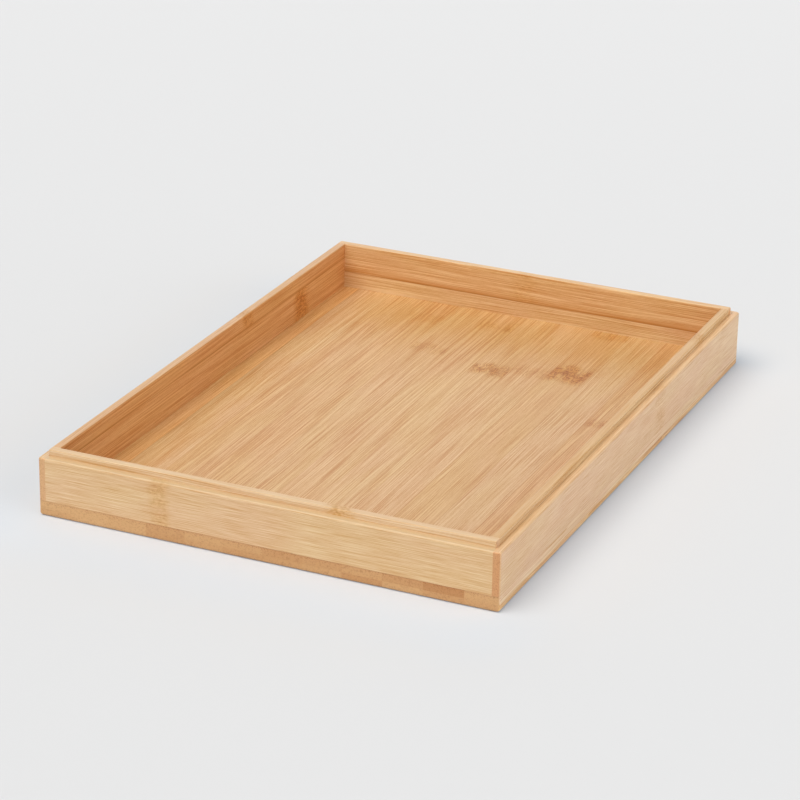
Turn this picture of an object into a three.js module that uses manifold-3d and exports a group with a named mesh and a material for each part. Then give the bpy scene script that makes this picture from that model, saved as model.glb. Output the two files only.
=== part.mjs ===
// A shallow bamboo serving tray. Four walls of two plies each stand on a base board
// of two plies, and every ply is glued up from milled bamboo strips.
// Millimetres, +Z up, +X to the right, +Y towards the back. The origin is the middle
// of the underside, level with the surface that the tray stands on.

import * as THREE from 'three';
import { mergeVertices } from 'three/addons/utils/BufferGeometryUtils.js';
import Module from 'manifold-3d';

// Driving dimensions
const TRAY_WIDTH = 254;
const TRAY_LENGTH = 355.5;
const TRAY_HEIGHT = 35.5;
const OUTER_PLY = 4; // the ply that faces out, on the walls and under the base
const INNER_PLY = 4.5; // the ply that faces in, on the walls and on the floor
const REBATE_DEPTH = 3.5; // the ledge round the rim is this far below the lip
const STRIP_WIDTH = 21.75;
const STRIP_COUNT = 12; // across the base; the two edge strips are trimmed narrower
const SIDE_JOINT_HEIGHT = 26.75; // joint between the two inner strips of a side wall
const END_JOINT_HEIGHT = 18.25; // the same joint in the front and back walls

// Sanded edges
const BOTTOM_ROUND = 1.5;
const LEDGE_ROUND = 1;
const LIP_ROUND = 0.5;
const CORNER_ROUND = 1.5; // the walls' vertical corners, in plan
const LIP_CORNER_ROUND = 1;
const ARC_STEPS = 4;
const OVERSIZE = 5; // how far a blank runs past the surface it is sanded back to

// Derived sizes
const BOARD = OUTER_PLY + INNER_PLY;
const LEDGE_HEIGHT = TRAY_HEIGHT - REBATE_DEPTH;
const OUTSIDE = { x: TRAY_WIDTH / 2, y: TRAY_LENGTH / 2, corner: CORNER_ROUND };
const LIP = { x: OUTSIDE.x - OUTER_PLY, y: OUTSIDE.y - OUTER_PLY, corner: LIP_CORNER_ROUND };
const INSIDE = { x: OUTSIDE.x - BOARD, y: OUTSIDE.y - BOARD, corner: LIP_CORNER_ROUND };

// Bamboo, from the pale inner culm to the denser, darker outer culm
const TONES = {
  pale: 0xdfba8b,
  honey: 0xd6a878,
  amber: 0xc9935f,
  toasted: 0xb98150,
};

const manifoldLibrary = await Module();
manifoldLibrary.setup();
const { Manifold, Mesh } = manifoldLibrary;

function solidFrom(geometry) {
  geometry.deleteAttribute('normal');
  geometry.deleteAttribute('uv');
  const merged = mergeVertices(geometry);
  return new Manifold(new Mesh({
    numProp: 3,
    vertProperties: new Float32Array(merged.attributes.position.array),
    triVerts: new Uint32Array(merged.index.array),
  }));
}

function geometryFrom(solid) {
  const { vertProperties, triVerts } = solid.getMesh();
  const geometry = new THREE.BufferGeometry();
  geometry.setAttribute('position', new THREE.BufferAttribute(vertProperties, 3));
  geometry.setIndex(new THREE.BufferAttribute(triVerts, 1));
  geometry.computeVertexNormals();
  return geometry;
}

// Corner points of a rectangle with rounded corners, anticlockwise
function roundedRectangle(halfX, halfY, radius) {
  const x = halfX - radius;
  const y = halfY - radius;
  const quarter = Math.PI / 2;
  const points = [];
  [[x, y], [-x, y], [-x, -y], [x, -y]].forEach(([centreX, centreY], corner) => {
    for (let step = 0; step <= ARC_STEPS; step++) {
      const angle = quarter * (corner + step / ARC_STEPS);
      points.push(new THREE.Vector2(
        centreX + radius * Math.cos(angle),
        centreY + radius * Math.sin(angle),
      ));
    }
  });
  return points;
}

// A closed block through rounded rectangles, each { z, grow } wider than half by grow
function loftedBlock(half, levels) {
  const rings = levels.map(({ z, grow }) => (
    roundedRectangle(half.x + grow, half.y + grow, half.corner).map((p) => [p.x, p.y, z])
  ));
  const count = rings[0].length;
  const topRing = (rings.length - 1) * count;
  const faces = [];
  for (let low = 0; low < topRing; low += count) {
    for (let i = 0; i < count; i++) {
      const next = (i + 1) % count;
      faces.push(low + i, low + next, low + next + count);
      faces.push(low + i, low + next + count, low + i + count);
    }
  }
  for (let i = 1; i < count - 1; i++) {
    faces.push(0, i + 1, i);
    faces.push(topRing, topRing + i, topRing + i + 1);
  }
  const geometry = new THREE.BufferGeometry();
  geometry.setAttribute('position', new THREE.Float32BufferAttribute(rings.flat(2), 3));
  geometry.setIndex(faces);
  return solidFrom(geometry);
}

// The levels of a quarter round, from bottom to top
function quarterRound(levelAt) {
  return Array.from({ length: ARC_STEPS + 1 }, (_, step) => {
    const angle = (Math.PI / 2) * (step / ARC_STEPS);
    return levelAt(Math.sin(angle), Math.cos(angle));
  });
}

const bottomRound = quarterRound((sin, cos) => (
  { z: BOTTOM_ROUND * (1 - cos), grow: BOTTOM_ROUND * (sin - 1) }
));
const ledgeRound = quarterRound((sin, cos) => (
  { z: LEDGE_HEIGHT + LEDGE_ROUND * (sin - 1), grow: LEDGE_ROUND * (cos - 1) }
));
const lipOuterRound = quarterRound((sin, cos) => (
  { z: TRAY_HEIGHT + LIP_ROUND * (sin - 1), grow: LIP_ROUND * (cos - 1) }
));
const lipInnerRound = quarterRound((sin, cos) => (
  { z: TRAY_HEIGHT + LIP_ROUND * (sin - 1), grow: LIP_ROUND * (1 - cos) }
));

// The sanded outside up to the ledge, and the sanded lip above it
const body = loftedBlock(OUTSIDE, [...bottomRound, ...ledgeRound]);
const flare = loftedBlock(INSIDE, [
  ...lipInnerRound,
  { z: TRAY_HEIGHT + OVERSIZE, grow: LIP_ROUND },
]);
const lip = loftedBlock(LIP, [{ z: -OVERSIZE, grow: 0 }, ...lipOuterRound]).subtract(flare);

const tray = new THREE.Group();

// One strip: a rectangular blank from low to high, sanded back to the finished surface
function addStrip(name, tone, finished, low, high) {
  const blank = new THREE.BoxGeometry(high[0] - low[0], high[1] - low[1], high[2] - low[2]);
  blank.translate((low[0] + high[0]) / 2, (low[1] + high[1]) / 2, (low[2] + high[2]) / 2);
  const material = new THREE.MeshStandardMaterial({
    color: TONES[tone],
    roughness: 0.5,
    metalness: 0,
  });
  const mesh = new THREE.Mesh(geometryFrom(solidFrom(blank).intersect(finished)), material);
  mesh.name = name;
  tray.add(mesh);
}

// Base board: two plies of strips that run from front to back, joints in line
function addBasePly(name, tones, lowZ, highZ) {
  const firstJoint = -STRIP_WIDTH * (STRIP_COUNT / 2 - 1);
  const edge = OUTSIDE.x + OVERSIZE;
  for (let i = 0; i < STRIP_COUNT; i++) {
    const left = i === 0 ? -edge : firstJoint + STRIP_WIDTH * (i - 1);
    const right = i === STRIP_COUNT - 1 ? edge : firstJoint + STRIP_WIDTH * i;
    addStrip(
      `${name}_${String(i + 1).padStart(2, '0')}`,
      tones[i % tones.length],
      body,
      [left, -OUTSIDE.y - OVERSIZE, lowZ],
      [right, OUTSIDE.y + OVERSIZE, highZ],
    );
  }
}

addBasePly('underside_strip', ['amber', 'toasted', 'amber', 'honey'], -OVERSIZE, OUTER_PLY);
addBasePly('floor_strip', ['honey', 'pale', 'honey', 'honey', 'pale'], OUTER_PLY, BOARD);

// A stretch of an axis from near to far, on the chosen side of the middle (-1 or 1)
function stretch(side, near, far) {
  return side > 0 ? [near, far] : [-far, -near];
}

// Side walls: the outer ply runs the whole length and laps the ends of the front and
// back walls, and the inner ply stops between those walls
function addSideWall(name, side) {
  const [outerLow, outerHigh] = stretch(side, LIP.x, OUTSIDE.x + OVERSIZE);
  const [innerLow, innerHigh] = stretch(side, INSIDE.x, LIP.x + OVERSIZE);
  const end = OUTSIDE.y + OVERSIZE;
  addStrip(`${name}_outer_ply`, 'pale', body,
    [outerLow, -end, BOARD], [outerHigh, end, LEDGE_HEIGHT + OVERSIZE]);
  addStrip(`${name}_inner_lower_strip`, 'amber', lip,
    [innerLow, -INSIDE.y, BOARD], [innerHigh, INSIDE.y, SIDE_JOINT_HEIGHT]);
  addStrip(`${name}_inner_upper_strip`, 'honey', lip,
    [innerLow, -INSIDE.y, SIDE_JOINT_HEIGHT], [innerHigh, INSIDE.y, TRAY_HEIGHT + OVERSIZE]);
}

// Front and back walls: both plies run between the outer plies of the side walls
function addEndWall(name, side) {
  const [outerLow, outerHigh] = stretch(side, LIP.y, OUTSIDE.y + OVERSIZE);
  const [innerLow, innerHigh] = stretch(side, INSIDE.y, LIP.y + OVERSIZE);
  const end = LIP.x + OVERSIZE;
  addStrip(`${name}_outer_ply`, 'pale', body,
    [-LIP.x, outerLow, BOARD], [LIP.x, outerHigh, LEDGE_HEIGHT + OVERSIZE]);
  addStrip(`${name}_inner_lower_strip`, 'honey', lip,
    [-end, innerLow, BOARD], [end, innerHigh, END_JOINT_HEIGHT]);
  addStrip(`${name}_inner_upper_strip`, 'pale', lip,
    [-end, innerLow, END_JOINT_HEIGHT], [end, innerHigh, TRAY_HEIGHT + OVERSIZE]);
}

addSideWall('left', -1);
addSideWall('right', 1);
addEndWall('front', -1);
addEndWall('back', 1);

export default tray;
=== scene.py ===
import math
import random
from types import SimpleNamespace

import bpy
from mathutils import Matrix, Vector


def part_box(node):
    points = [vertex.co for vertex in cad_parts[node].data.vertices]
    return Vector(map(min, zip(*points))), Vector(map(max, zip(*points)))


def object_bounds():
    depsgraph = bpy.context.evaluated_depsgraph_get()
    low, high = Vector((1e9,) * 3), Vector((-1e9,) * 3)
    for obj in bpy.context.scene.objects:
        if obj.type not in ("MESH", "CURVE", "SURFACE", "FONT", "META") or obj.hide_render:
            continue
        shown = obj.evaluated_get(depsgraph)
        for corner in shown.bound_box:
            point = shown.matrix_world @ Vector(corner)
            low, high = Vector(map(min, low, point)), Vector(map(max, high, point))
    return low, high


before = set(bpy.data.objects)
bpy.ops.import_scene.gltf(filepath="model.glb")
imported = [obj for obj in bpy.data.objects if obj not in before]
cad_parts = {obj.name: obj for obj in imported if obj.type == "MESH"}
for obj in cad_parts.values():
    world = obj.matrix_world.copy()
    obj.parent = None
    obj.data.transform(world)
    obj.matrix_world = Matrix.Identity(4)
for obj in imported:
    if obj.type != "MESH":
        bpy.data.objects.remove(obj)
cad_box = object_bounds()

# All texture sizes and places on the tray below are in millimetres.
MM_PER_METRE = 1000.0

# --- camera ---------------------------------------------------------------------

CAMERA_PLACE = Vector((0.6292, -1.4333, 0.6789))
CAMERA_AIM = Vector((-0.0242, 0.0419, 0.0))
CAMERA_ROLL = math.radians(1.02)
CAMERA_LENS = 141.4
CAMERA_SENSOR = 36.0


def add_camera():
    data = bpy.data.cameras.new("camera")
    data.sensor_width = CAMERA_SENSOR
    data.lens = CAMERA_LENS
    camera = bpy.data.objects.new("camera", data)
    turn = (CAMERA_AIM - CAMERA_PLACE).to_track_quat("-Z", "Y").to_matrix()
    turn = turn @ Matrix.Rotation(CAMERA_ROLL, 3, "Z")
    camera.matrix_world = Matrix.Translation(CAMERA_PLACE) @ turn.to_4x4()
    bpy.context.scene.collection.objects.link(camera)
    bpy.context.scene.camera = camera


# --- node tree calls ------------------------------------------------------------


def make(tree, kind, inputs=None, **settings):
    """A new node with its settings, each input set to a value or linked to another node's output."""
    node = tree.nodes.new(kind)
    for key, value in settings.items():
        setattr(node, key, value)
    for key, value in (inputs or {}).items():
        if isinstance(value, bpy.types.NodeSocket):
            tree.links.new(value, node.inputs[key])
        else:
            node.inputs[key].default_value = value
    return node


def calc(tree, operation, *values):
    return make(tree, "ShaderNodeMath", dict(enumerate(values)), operation=operation).outputs[0]


def total(tree, terms):
    """The sum of each value times its weight."""
    result = 0.0
    for weight, value in terms:
        result = calc(tree, "MULTIPLY_ADD", value, weight, result)
    return result


def ramp(tree, value, start, end, low=0.0, high=1.0):
    """low before start, high after end, and a soft change between."""
    inputs = {"Value": value, "From Min": start, "From Max": end, "To Min": low, "To Max": high}
    node = make(tree, "ShaderNodeMapRange", inputs, interpolation_type="SMOOTHSTEP")
    return node.outputs["Result"]


def blend(tree, share, color_a, color_b):
    node = make(tree, "ShaderNodeMix", data_type="RGBA")
    for index, value in ((0, share), (6, color_a), (7, color_b)):
        if isinstance(value, bpy.types.NodeSocket):
            tree.links.new(value, node.inputs[index])
        else:
            node.inputs[index].default_value = (*value, 1.0) if index else value
    return node.outputs[2]


def tinted(tree, color, tint):
    node = make(tree, "ShaderNodeVectorMath", {0: color, 1: tint}, operation="MULTIPLY")
    return node.outputs[0]


def stretch(tree, place, size):
    scale = tuple(1.0 / length for length in size)
    node = make(tree, "ShaderNodeVectorMath", {0: place, 1: scale}, operation="MULTIPLY")
    return node.outputs[0]


def noise(tree, place, size, detail=2.0, roughness=0.5):
    """Noise around 0 whose features measure size along, across and through the grain."""
    inputs = {"Vector": stretch(tree, place, size), "Scale": 1.0, "Detail": detail, "Roughness": roughness}
    value = make(tree, "ShaderNodeTexNoise", inputs).outputs["Fac"]
    return calc(tree, "SUBTRACT", value, 0.5)


# --- studio ---------------------------------------------------------------------

# A warm key over cool surroundings keeps the shadows beside the warm wood neutral
WARM = (1.085, 1.0, 0.915)
NEUTRAL = (1.0, 1.0, 1.0)
SKY = (0.93, 1.0, 1.07)
SKY_STRENGTH = 0.30
PAPER = (0.66, 0.66, 0.66)
PAPER_SIDE = 16.0
# The paper's own weak, even light; beside the tray a painted cool glow, which cancels the warm light the
# wood throws on the paper
PAPER_GLOW = (0.058, 0.08, 0.102)
PAINTED_COOL_GLOW_BY_TRAY = (0.032, 0.086, 0.142)
# How far the painted cool glow reaches from the tray, and how far towards the key it is shifted
PAPER_GLOW_REACH = 60.0
KEY_SIDE_SHIFT = 12.0
# Keeps the tray's underside and the paper from lying in one plane
HAIR_GAP = 0.0001
TRAY_HALF = [(cad_box[1][axis] - cad_box[0][axis]) * 0.5 * MM_PER_METRE for axis in (0, 1)]


def near_tray(tree):
    """Where the painted cool glow goes: 1 on the paper beside the tray, most on the key's side, fading to
    0 away from it.
    """
    place = make(tree, "ShaderNodeNewGeometry").outputs["Position"]
    scaled = make(tree, "ShaderNodeVectorMath", {0: place, "Scale": MM_PER_METRE}, operation="SCALE")
    split = make(tree, "ShaderNodeSeparateXYZ", {0: scaled.outputs[0]})
    past = {}
    for index, half in enumerate(TRAY_HALF):
        from_middle = calc(tree, "ABSOLUTE", calc(tree, "ADD", split.outputs[index], KEY_SIDE_SHIFT))
        past[index] = calc(tree, "MAXIMUM", calc(tree, "SUBTRACT", from_middle, half), 0.0)
    away = make(tree, "ShaderNodeCombineXYZ", past).outputs[0]
    distance = make(tree, "ShaderNodeVectorMath", {0: away}, operation="LENGTH").outputs["Value"]
    return ramp(tree, distance, PAPER_GLOW_REACH, 0.0)


def add_studio_floor():
    """A sheet of pale paper that glows a little, so that the shadows on it stay soft, with a painted cool
    glow beside the tray.
    """
    bpy.ops.mesh.primitive_plane_add(size=PAPER_SIDE, location=(0.0, 2.0, -HAIR_GAP))
    floor = bpy.context.object
    floor.name = "studio_floor"
    paper = bpy.data.materials.new("studio_paper")
    paper.use_nodes = True
    shader = paper.node_tree.nodes["Principled BSDF"]
    shader.inputs["Base Color"].default_value = (*PAPER, 1.0)
    shader.inputs["Roughness"].default_value = 1.0
    shader.inputs["Specular IOR Level"].default_value = 0.0
    shader.inputs["Emission Strength"].default_value = 1.0
    glow = blend(paper.node_tree, near_tray(paper.node_tree), PAPER_GLOW, PAINTED_COOL_GLOW_BY_TRAY)
    paper.node_tree.links.new(glow, shader.inputs["Emission Color"])
    floor.data.materials.append(paper)


def add_sun(name, towards, strength, spread, color=NEUTRAL):
    """A very soft light from far away; towards points from the tray to the light."""
    data = bpy.data.lights.new(name, "SUN")
    data.energy = strength * math.pi
    data.angle = math.radians(spread)
    data.color = color
    sun = bpy.data.objects.new(name, data)
    sun.rotation_euler = Vector(towards).to_track_quat("Z", "Y").to_euler()
    bpy.context.scene.collection.objects.link(sun)


def add_card(name, place, width, height, brightness):
    """A bright rectangle facing the tray, which the lacquer reflects."""
    data = bpy.data.lights.new(name, "AREA")
    data.shape = "RECTANGLE"
    data.size = width
    data.size_y = height
    data.energy = brightness * math.pi * width * height
    card = bpy.data.objects.new(name, data)
    card.location = place
    card.rotation_euler = Vector(place).to_track_quat("Z", "Y").to_euler()
    bpy.context.scene.collection.objects.link(card)


def add_lights():
    world = bpy.data.worlds.new("studio")
    bpy.context.scene.world = world
    world.use_nodes = True
    sky = world.node_tree.nodes["Background"]
    sky.inputs["Color"].default_value = (*SKY, 1.0)
    sky.inputs["Strength"].default_value = SKY_STRENGTH
    add_sun("key", (-0.24, -0.38, 0.9), 0.69, 50, WARM)
    add_sun("side_fill", (1.0, -0.15, 0.36), 0.28, 60)
    add_sun("front_fill", (0.2, -1.0, 0.3), 0.13, 70)
    add_card("back_card", (-1.2, 2.6, 1.1), 3.0, 1.6, 0.8)
    add_card("side_card", (2.6, -0.2, 0.75), 2.4, 1.2, 0.8)


# --- bamboo ---------------------------------------------------------------------

# Lacquered bamboo as linear colour, from the freshest strips to the most heat treated
IVORY = (0.775, 0.497, 0.255)
CREAM = (0.68, 0.467, 0.25)
# The tan painted on the front ledge and the left lip's top, a painted light for the light they catch from
# above
PAINTED_TOP_TAN = (0.635, 0.455, 0.255)
PALE = (0.71, 0.46, 0.222)
BLUSH = (0.735, 0.453, 0.22)
STRAW = (0.635, 0.402, 0.182)
GOLD = (0.745, 0.422, 0.153)
HONEY = (0.60, 0.345, 0.127)
AMBER = (0.65, 0.31, 0.101)
TOASTED = (0.56, 0.27, 0.09)
# Glue in the joints, and the wood beside them that it has tanned
GLUE_BROWN = (0.44, 0.15, 0.012)
STAIN = (0.58, 0.235, 0.05)
# How much a colour's red, green and blue move between the darkest and the palest fibres
FIBRE_CONTRAST = (0.17, 0.36, 0.62)
# Tints for a slow drift of hue from golden to rosy, and for wood that has ripened
ROSY = (1.0, 0.965, 1.03)
RIPE = (0.94, 0.895, 0.82)
# Cut ends against the face colour: the ground between the fibre bundles, and the bundles
END_GROUND = (1.03, 0.96, 0.99)
END_DEEP = (0.64, 0.42, 0.29)
# How strongly a darker cut end dims red, green and blue
END_DIM_SHARES = (0.7, 1.3, 1.9)
# A knot against the wood round it: its soft cloud, and the dark speckle in it
KNOT_CLOUD = (0.89, 0.70, 0.33)
KNOT_DEEP = (0.66, 0.44, 0.0)
KNOT_WANDER = 1.5
# Where each strip's patterns start, per seed
SEED_STEP = Vector((137.0, 59.0, 23.0))

# Satin lacquer
LACQUER_IOR = 1.5
COAT_WEIGHT = 0.25
COAT_ROUGHNESS = 0.28
SMOOTHEST = 0.40
RELIEF_STRENGTH = 0.2
RELIEF_METRES = 0.00002


def shaded(color, amount):
    return tuple(part * (1.0 + amount * swing) for part, swing in zip(color, FIBRE_CONTRAST))


def tone_between(color_a, color_b, share):
    return tuple(a + (b - a) * share for a, b in zip(color_a, color_b))


class Strip:
    """One bamboo strip or ply: which way its grain runs, and what grew and was glued where."""

    def __init__(self, node, along, across, through, color, seed, **extra):
        self.node = node
        self.axes = (along, across, through)
        self.color = color
        self.seed = seed
        self.knots = extra.get("knots", ())        # (place along, half width, strength)
        self.eyes = extra.get("eyes", ())          # (place along, place across, radius, strength)
        self.glued = extra.get("glued", ())        # sides across the grain: -1 low, 1 high
        self.skin = extra.get("skin", 1)           # side through the grain that lay under the skin
        self.joint = extra.get("joint", 1.0)       # how dark its glue lines are
        self.seam_width = extra.get("seam_width", 0.42)
        self.stain = extra.get("stain", 0.0)       # how far the glue has tanned the wood beside it
        self.fibres = extra.get("fibres", 1.0)     # how crisp its fine fibre lines are
        self.streaks = extra.get("streaks", 1.0)   # how lively its long streaks are
        self.reach = extra.get("reach", 1.0)       # how long its fine fibres run
        self.top = extra.get("top", 0.45)          # how much its faces that look up take the painted top colour, a painted light
        self.painted_top_color = extra.get("painted_top_color", CREAM)
        self.ripeness = extra.get("ripeness", 0.0)  # how much it deepens towards the back
        self.end_color = extra.get("end_color", color)
        self.end_dim = extra.get("end_dim", 0.0)   # how much darker its cut ends are
        low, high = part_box(node)
        axes = ["XYZ".index(axis) for axis in self.axes]
        self.middle = [(low[i] + high[i]) * 0.5 * MM_PER_METRE for i in axes]
        self.half = [(high[i] - low[i]) * 0.5 * MM_PER_METRE for i in axes]


def strip_space(tree, strip):
    """Places in a strip: along the grain in the tray's frame, across and through it from its middle."""
    place = make(tree, "ShaderNodeTexCoord").outputs["Object"]
    scaled = make(tree, "ShaderNodeVectorMath", {0: place, "Scale": MM_PER_METRE}, operation="SCALE")
    split = make(tree, "ShaderNodeSeparateXYZ", {0: scaled.outputs[0]})
    along, across, through = (split.outputs[axis] for axis in strip.axes)
    across = calc(tree, "SUBTRACT", across, strip.middle[1])
    through = calc(tree, "SUBTRACT", through, strip.middle[2])
    plain = make(tree, "ShaderNodeCombineXYZ", {0: along, 1: across, 2: through}).outputs[0]
    offset = SEED_STEP * strip.seed
    seeded = make(tree, "ShaderNodeVectorMath", {0: plain, 1: offset}, operation="ADD").outputs[0]
    return SimpleNamespace(along=along, across=across, through=through, plain=plain, seeded=seeded)


def facing(tree, axis, start, end):
    """1 where the surface faces along an axis of the tray, either way, and 0 where it runs beside it."""
    normal = make(tree, "ShaderNodeTexCoord").outputs["Normal"]
    split = make(tree, "ShaderNodeSeparateXYZ", {0: normal})
    return ramp(tree, calc(tree, "ABSOLUTE", split.outputs[axis]), start, end)


def knot_bands(tree, strip, space):
    """Each knot ring's strength, the distance from its wandering middle, and its half width."""
    wander = noise(tree, space.seeded, (60.0, 7.0, 5.0), detail=2.0)
    bands = []
    for middle, half_width, strength in strip.knots:
        from_middle = calc(tree, "SUBTRACT", space.along, middle)
        distance = calc(tree, "MULTIPLY_ADD", wander, half_width * KNOT_WANDER, from_middle)
        bands.append((strength, calc(tree, "ABSOLUTE", distance), half_width))
    return bands


def knot_ring(tree, bands):
    """How far inside a knot ring a point is, from 0 to the knot's strength."""
    ring = 0.0
    for strength, distance, half_width in bands:
        near = ramp(tree, distance, half_width * 1.25, half_width * 0.25, 0.0, strength)
        ring = calc(tree, "MAXIMUM", near, ring)
    return ring


def grain_space(tree, space, ring):
    """The strip's space, bent the way its fibres sway along it and swirl round its knots."""
    sway = calc(tree, "MULTIPLY", noise(tree, space.seeded, (110.0, 24.0, 24.0)), 2.2)
    swirl = calc(tree, "MULTIPLY", noise(tree, space.seeded, (5.5, 4.0, 4.0), detail=2.0), 4.5)
    sway = calc(tree, "MULTIPLY_ADD", swirl, ring, sway)
    bent = make(tree, "ShaderNodeCombineXYZ", {1: sway}).outputs[0]
    return make(tree, "ShaderNodeVectorMath", {0: space.seeded, 1: bent}, operation="ADD").outputs[0]


def fibre_patterns(tree, strip, grain):
    """Bundles that are dots on cut ends and lines on faces, hairlines, streaks and slow patches."""
    reach = strip.reach
    cells = make(
        tree,
        "ShaderNodeTexVoronoi",
        {"Vector": stretch(tree, grain, (70.0 * reach, 0.78, 0.7)), "Scale": 1.0, "Randomness": 1.0},
    ).outputs["Distance"]
    hairs = noise(tree, grain, (60.0 * reach, 0.30, 0.45), detail=1.0)
    return SimpleNamespace(
        cells=cells,
        bundle=ramp(tree, cells, 0.42, 0.15),
        hair=ramp(tree, hairs, 0.09, 0.18),
        fine=noise(tree, grain, (55.0 * reach, 0.30, 0.45), detail=1.0),
        streak=noise(tree, grain, (240.0, 1.9, 4.0), detail=3.0, roughness=0.6),
        broad=noise(tree, grain, (420.0, 8.0, 9.0), detail=1.0),
        patch=noise(tree, grain, (42.0, 16.0, 12.0), detail=2.0),
        fleck=noise(tree, grain, (4.0, 0.5, 0.5), detail=1.0),
    )


def face_color(tree, strip, space, fibres, end):
    """The wood along the strip's faces, with painted light on the faces that look up, before its knots and
    joints.
    """
    shade = total(
        tree,
        (
            (-0.16 * strip.fibres, fibres.bundle),
            (-0.80 * strip.fibres, fibres.hair),
            (3.6 * strip.fibres, fibres.fine),
            (0.18 * strip.streaks, fibres.streak),
            (0.30 * strip.streaks, fibres.broad),
            (0.2, fibres.patch),
            (0.6 * strip.fibres, fibres.fleck),
        ),
    )
    shade = calc(tree, "MULTIPLY_ADD", shade, calc(tree, "SUBTRACT", 1.0, end), 0.60)
    color = blend(tree, shade, shaded(strip.color, -1.0), shaded(strip.color, 1.0))
    hue = noise(tree, space.seeded, (65.0, 20.0, 12.0), detail=1.0)
    color = blend(tree, ramp(tree, hue, -0.2, 0.2), color, tinted(tree, color, ROSY))
    if strip.ripeness:
        ripe = ramp(tree, space.along, 10.0, 165.0, 0.0, strip.ripeness)
        color = blend(tree, ripe, color, tinted(tree, color, RIPE))
    # Painted light: faces that look up are painted paler for the light they catch from above, and on the
    # right lip darker
    if strip.axes[1] == "Z":
        top = calc(tree, "MULTIPLY", facing(tree, "Z", 0.3, 0.8), strip.top)
        color = blend(tree, top, color, strip.painted_top_color)
    return color


def end_color(tree, strip, space, fibres):
    """A cut end: a duller, mottled ground with dark bundle dots, crowded towards the skin side."""
    skinward = calc(tree, "MULTIPLY", space.through, strip.skin / strip.half[2])
    crowd = ramp(tree, skinward, -0.2, 1.0, 0.25, 0.8)
    dots = calc(tree, "MULTIPLY", ramp(tree, fibres.cells, 0.55, 0.15), crowd)
    mottle = noise(tree, space.seeded, (3.0, 1.3, 1.0), detail=2.0, roughness=0.6)
    dark = calc(tree, "MULTIPLY_ADD", mottle, 1.6, dots)
    dark = calc(tree, "MAXIMUM", dark, ramp(tree, skinward, 0.45, 1.0, 0.0, 0.35))
    kept = [1.0 - strip.end_dim * share for share in END_DIM_SHARES]
    ground, deep = (
        tuple(part * tint * keep for part, tint, keep in zip(strip.end_color, tints, kept))
        for tints in (END_GROUND, END_DEEP)
    )
    return blend(tree, dark, ground, deep)


def with_knots(tree, space, grain, bands, ring, color):
    """The colour with its knots: a soft tan cloud, brown wavy speckle and a broken dark ring."""
    patchy = ramp(tree, noise(tree, space.seeded, (9.0, 6.0, 6.0), detail=1.0), -0.2, 0.12, 0.4, 1.0)
    cloud = calc(tree, "MULTIPLY", ring, patchy)
    color = blend(tree, cloud, color, tinted(tree, color, KNOT_CLOUD))
    waves = noise(tree, grain, (2.0, 1.1, 1.1), detail=2.0, roughness=0.6)
    speckle = calc(tree, "MULTIPLY", ramp(tree, waves, -0.02, 0.06), 0.95)
    lines = 0.0
    for strength, distance, half_width in bands:
        line = ramp(tree, distance, half_width * 0.22, 0.0, 0.0, strength * 0.5)
        lines = calc(tree, "MAXIMUM", line, lines)
    broken = ramp(tree, noise(tree, space.seeded, (3.0, 2.2, 2.2)), -0.08, 0.1)
    lines = calc(tree, "MULTIPLY", lines, broken)
    dark = calc(tree, "MAXIMUM", calc(tree, "MULTIPLY", cloud, speckle), lines)
    return blend(tree, dark, color, tinted(tree, color, KNOT_DEEP))


def with_eyes(tree, strip, space, color):
    """The colour with its eyes, the dark ovals where a branch grew from a knot."""
    for along, across, radius, strength in strip.eyes:
        middle = (along, across, 0.0)
        away = make(tree, "ShaderNodeVectorMath", {0: space.plain, 1: middle}, operation="SUBTRACT")
        flat = {0: away.outputs[0], 1: (0.7, 1.0, 0.0)}
        flat = make(tree, "ShaderNodeVectorMath", flat, operation="MULTIPLY").outputs[0]
        size = make(tree, "ShaderNodeVectorMath", {0: flat}, operation="LENGTH").outputs["Value"]
        edge = noise(tree, space.seeded, (2.0, 1.2, 1.2))
        size = calc(tree, "MULTIPLY_ADD", edge, radius * 1.4, size)
        inside = ramp(tree, size, radius, radius * 0.2, 0.0, strength)
        color = blend(tree, inside, color, tinted(tree, color, KNOT_DEEP))
    return color


def with_joints(tree, strip, space, end, color):
    """The colour with its glue lines and the wood they have tanned, and how much glue shows."""
    depth = calc(tree, "MULTIPLY_ADD", noise(tree, space.seeded, (55.0, 30.0, 30.0)), 1.4, 0.6)
    seam = 0.0
    for side in strip.glued:
        inside = calc(tree, "MULTIPLY_ADD", space.across, -side, strip.half[1])
        seam = calc(tree, "MAXIMUM", ramp(tree, inside, strip.seam_width, 0.02), seam)
        if strip.stain:
            soaked = ramp(tree, inside, 4.5, 0.5, 0.0, strip.stain)
            color = blend(tree, calc(tree, "MULTIPLY", soaked, depth), color, STAIN)
    seam = calc(tree, "MULTIPLY", calc(tree, "MULTIPLY", seam, depth), strip.joint * 0.75)
    seam = calc(tree, "MULTIPLY", seam, calc(tree, "MULTIPLY_ADD", end, -0.8, 1.0))
    return blend(tree, seam, color, GLUE_BROWN), seam


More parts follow.
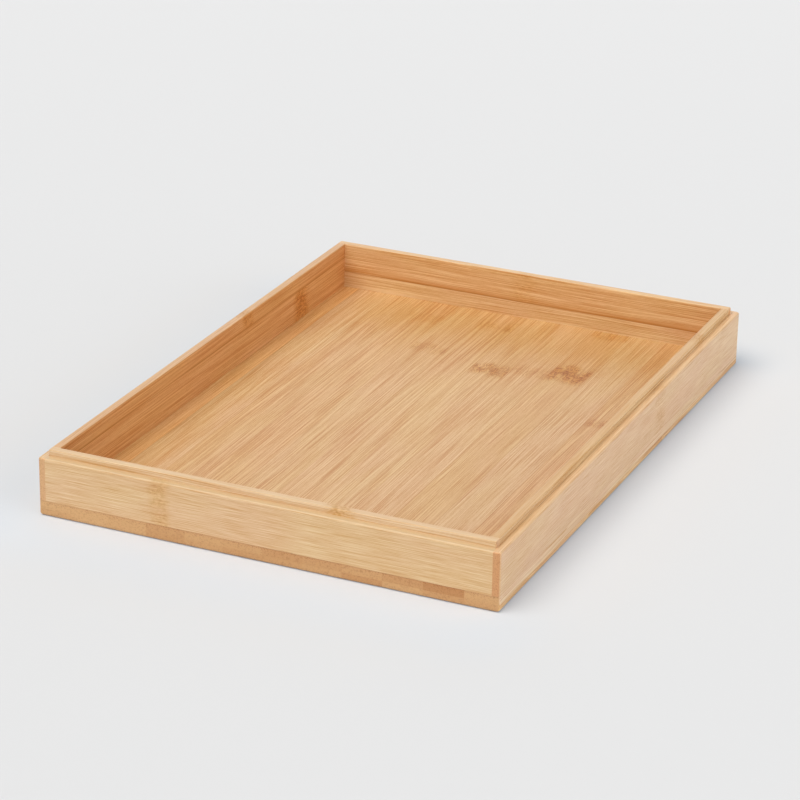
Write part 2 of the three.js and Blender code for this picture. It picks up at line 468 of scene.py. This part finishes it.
def add_lacquer(tree, shader, space, fibres, end, seam):
    """Satin lacquer, a little duller over open fibres and cut ends, that follows the grain's relief."""
    rub = noise(tree, space.seeded, (60.0, 22.0, 22.0), detail=2.0)
    rough = total(
        tree,
        ((0.12, fibres.hair), (0.10, end), (0.16, rub), (0.06, fibres.bundle), (0.12, seam)),
    )
    tree.links.new(calc(tree, "ADD", rough, SMOOTHEST), shader.inputs["Roughness"])
    shader.inputs["IOR"].default_value = LACQUER_IOR
    shader.inputs["Coat Weight"].default_value = COAT_WEIGHT
    shader.inputs["Coat Roughness"].default_value = COAT_ROUGHNESS
    relief = total(
        tree,
        (
            (-0.35, fibres.bundle),
            (-0.8, fibres.hair),
            (0.9, fibres.fine),
            (0.5, fibres.streak),
            (-0.3, seam),
            (0.25, fibres.fleck),
        ),
    )
    inputs = {"Strength": RELIEF_STRENGTH, "Distance": RELIEF_METRES, "Height": relief}
    bump = make(tree, "ShaderNodeBump", inputs)
    tree.links.new(bump.outputs["Normal"], shader.inputs["Normal"])


def bamboo(strip):
    material = bpy.data.materials.new("bamboo_" + strip.node)
    material.use_nodes = True
    tree = material.node_tree
    shader = tree.nodes["Principled BSDF"]
    space = strip_space(tree, strip)
    end = facing(tree, strip.axes[0], 0.45, 0.85)
    bands = knot_bands(tree, strip, space)
    ring = knot_ring(tree, bands)
    grain = grain_space(tree, space, ring)
    fibres = fibre_patterns(tree, strip, grain)
    color = face_color(tree, strip, space, fibres, end)
    color = blend(tree, end, color, end_color(tree, strip, space, fibres))
    if strip.knots:
        color = with_knots(tree, space, grain, bands, ring, color)
    color = with_eyes(tree, strip, space, color)
    color, seam = with_joints(tree, strip, space, end, color)
    tree.links.new(color, shader.inputs["Base Color"])
    add_lacquer(tree, shader, space, fibres, end, seam)
    return material


# --- the tray's strips ----------------------------------------------------------

# The floor strips between the two at the edges, from left to right: their tone as a share
# from honey (0) to amber (1), or to straw (-1)
FLOOR_TONES = (-0.7, -0.1, 0.05, -0.2, -0.22, -0.3, -0.4, -0.05, -0.55, 0.1)


def floor_color(share):
    if share < 0.0:
        return tone_between(HONEY, STRAW, -share)
    return tone_between(HONEY, AMBER, share)


FLOOR_COLORS = [GOLD, *(floor_color(share) for share in FLOOR_TONES), IVORY]
# From left to right: how much each floor strip deepens towards the back, and how dark its joints are
FLOOR_RIPENESS = (1.0, 0.1, 0.15, 0.4, 0.45, 0.3, 0.55, 0.3, 0.2, 0.2, 0.4, 0.4)
FLOOR_JOINTS = (1.0, 0.6, 0.6, 0.8, 0.6, 0.8, 0.8, 1.4, 1.0, 0.8, 0.9, 0.6)
# By floor strip number: knots as (place along, half width, strength)
FLOOR_KNOTS = {
    4: ((143.0, 8.0, 0.22),),
    5: ((100.0, 8.0, 0.35),),
    6: ((150.0, 10.0, 0.3),),
    7: ((86.0, 9.0, 1.05),),
    8: ((94.0, 9.0, 0.36),),
    9: ((99.0, 13.0, 1.35), (164.0, 7.0, 0.4)),
    11: ((41.0, 6.0, 0.6),),
}
# By floor strip number: eyes as (place along, place across, radius, strength)
FLOOR_EYES = {6: ((147.0, 7.5, 2.6, 0.6),), 9: ((101.0, -3.0, 3.5, 0.5),)}
BASE_END_COLOR = tone_between(HONEY, STRAW, 0.3)
# From left to right: how much darker each cut end of the base is, or paler below 0
FLOOR_END_DIMS = (-0.11, -0.1, -0.06, 0.045, -0.03, 0.0, 0.095, 0.06, 0.0, 0.09, 0.22, -0.04)
UNDERSIDE_END_DIMS = (-0.02, -0.09, -0.06, 0.07, 0.01, 0.07, 0.055, 0.0, 0.13, -0.03, 0.065, 0.01)


def base_strips():
    """The floor strips, and under each of them an underside strip."""
    strips = []
    count = len(FLOOR_COLORS)
    for number in range(1, count + 1):
        sides = tuple(side for side, there in ((-1, number > 1), (1, number < count)) if there)
        strips.append(
            Strip(
                f"floor_strip_{number:02d}", "Y", "X", "Z",
                FLOOR_COLORS[number - 1], number,
                ripeness=FLOOR_RIPENESS[number - 1],
                fibres=0.6 if number == count else 1.0,
                end_color=BASE_END_COLOR,
                knots=FLOOR_KNOTS.get(number, ()),
                eyes=FLOOR_EYES.get(number, ()),
                glued=sides,
                joint=FLOOR_JOINTS[number - 1],
                end_dim=FLOOR_END_DIMS[number - 1],
            )
        )
        # Little is known of the strips underneath, so their tones and knots are drawn, but the
        # side of the last one shows, and it is golden
        pick = random.Random(number)
        browner = pick.uniform(0.0, 0.5)
        strips.append(
            Strip(
                f"underside_strip_{number:02d}", "Y", "X", "Z",
                tone_between(GOLD, TOASTED, browner if number < count else 0.0), 20 + number,
                knots=((pick.uniform(-160.0, 160.0), pick.uniform(6.0, 11.0), pick.uniform(0.3, 0.9)),),
                glued=sides,
                skin=-1,
                end_color=BASE_END_COLOR,
                end_dim=UNDERSIDE_END_DIMS[number - 1],
            )
        )
    return strips


def wall_strips():
    """The walls' strips; an inner strip is glued to the one above or below it."""
    outside = {"fibres": 0.5, "streaks": 0.4, "reach": 0.4}
    lip = {"glued": (-1,), "fibres": 0.6, "streaks": 0.5, "top": 0.65}
    lower = {"glued": (1,), "joint": 1.5, "seam_width": 0.6, "streaks": 1.3}
    upper = {"glued": (-1,), "joint": 1.5, "seam_width": 1.2, "streaks": 1.3}
    front = ("X", "Z", "Y")
    side = ("Y", "Z", "X")
    sandy = tone_between(PALE, GOLD, 0.3)
    return [
        # The ledge and the lip tops are painted paler, and the right lip's top darker, as painted light
        Strip("front_outer_ply", *front, PALE, 41, knots=((-58.0, 6.0, 0.35),), skin=-1, top=1.0,
              painted_top_color=PAINTED_TOP_TAN, **outside),
        Strip("front_inner_lower_strip", *front, HONEY, 42, knots=((-80.0, 7.0, 0.5),), **lower),
        Strip("front_inner_upper_strip", *front, tone_between(CREAM, IVORY, 0.4), 43,
              knots=((41.0, 9.0, 0.5),), skin=-1, **lip),
        Strip("back_outer_ply", *front, PALE, 44, knots=((72.0, 7.0, 0.5),), **outside),
        Strip("back_inner_lower_strip", *front, sandy, 45, **lower),
        Strip("back_inner_upper_strip", *front, tone_between(GOLD, PALE, 0.4), 46,
              knots=((-2.0, 8.0, 0.2),), stain=0.9, **upper),
        Strip("left_outer_ply", *side, PALE, 47, knots=((-95.0, 7.0, 0.5),), skin=-1,
              end_dim=0.07, **outside),
        Strip("left_inner_lower_strip", *side, AMBER, 48, knots=((110.0, 10.0, 0.9),), **lower),
        Strip("left_inner_upper_strip", *side, AMBER, 49, knots=((41.0, 7.0, 0.8),),
              painted_top_color=PAINTED_TOP_TAN, stain=0.4, **upper),
        Strip("right_outer_ply", *side, BLUSH, 50, knots=((47.0, 9.0, 0.25),), end_dim=0.095,
              end_color=tone_between(PALE, AMBER, 0.5), **outside),
        Strip("right_inner_lower_strip", *side, AMBER, 51, knots=((-20.0, 8.0, 0.5),), **lower),
        Strip("right_inner_upper_strip", *side, tone_between(STRAW, PALE, 0.6), 52,
              knots=((120.0, 8.0, 0.4),), top=0.7, painted_top_color=HONEY, **upper),
    ]


def finish_strips():
    for strip in base_strips() + wall_strips():
        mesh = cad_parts[strip.node].data
        mesh.materials.clear()
        mesh.materials.append(bamboo(strip))


add_camera()
add_studio_floor()
add_lights()
finish_strips()
bpy.context.scene.view_settings.view_transform = "Standard"
